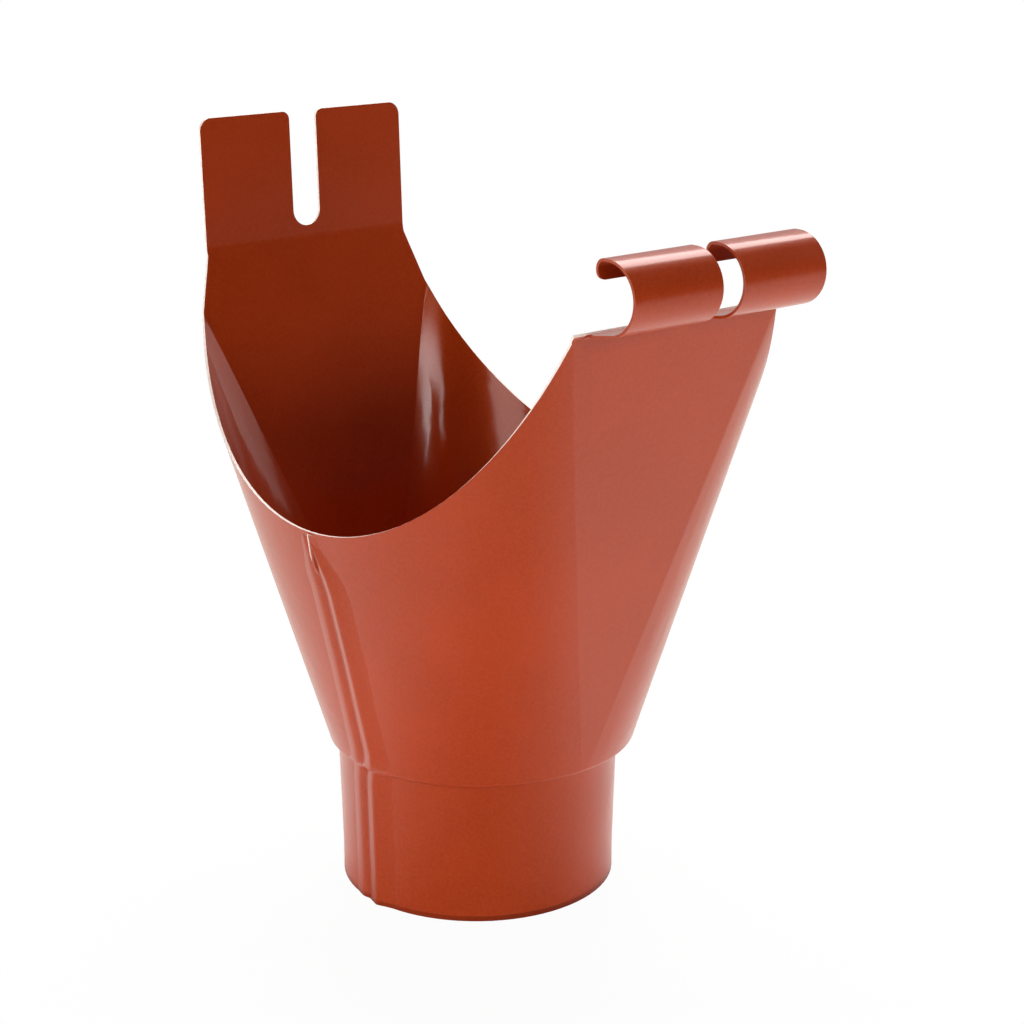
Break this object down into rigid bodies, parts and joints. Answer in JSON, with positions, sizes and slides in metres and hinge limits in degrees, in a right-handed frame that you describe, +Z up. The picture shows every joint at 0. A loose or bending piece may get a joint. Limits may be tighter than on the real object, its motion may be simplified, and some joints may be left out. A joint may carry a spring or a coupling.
{
  "type": "gutter running outlet",
  "caption": "Folded sheet-steel running outlet: a saddle-rimmed hopper on a round spigot, with a slotted rear tab and curled front hooks that clip on a half-round gutter.",
  "frame": {"origin": "centre of the spigot's lower rim, on the spigot's axis", "axes": "+Z up along the spigot's axis; X along the gutter; -Y the front with the bead hooks, +Y the rear with the slotted tab; the lock seam is on the -X wall"},
  "size_m": [0.1087, 0.1678, 0.2005],
  "materials": {
    "painted_steel": "satin tile-red coating on steel sheet, bare-looking cut edges"
  },
  "bodies": {
    "root": {"outlet_body": "painted_steel"}
  },
  "joints": []
}
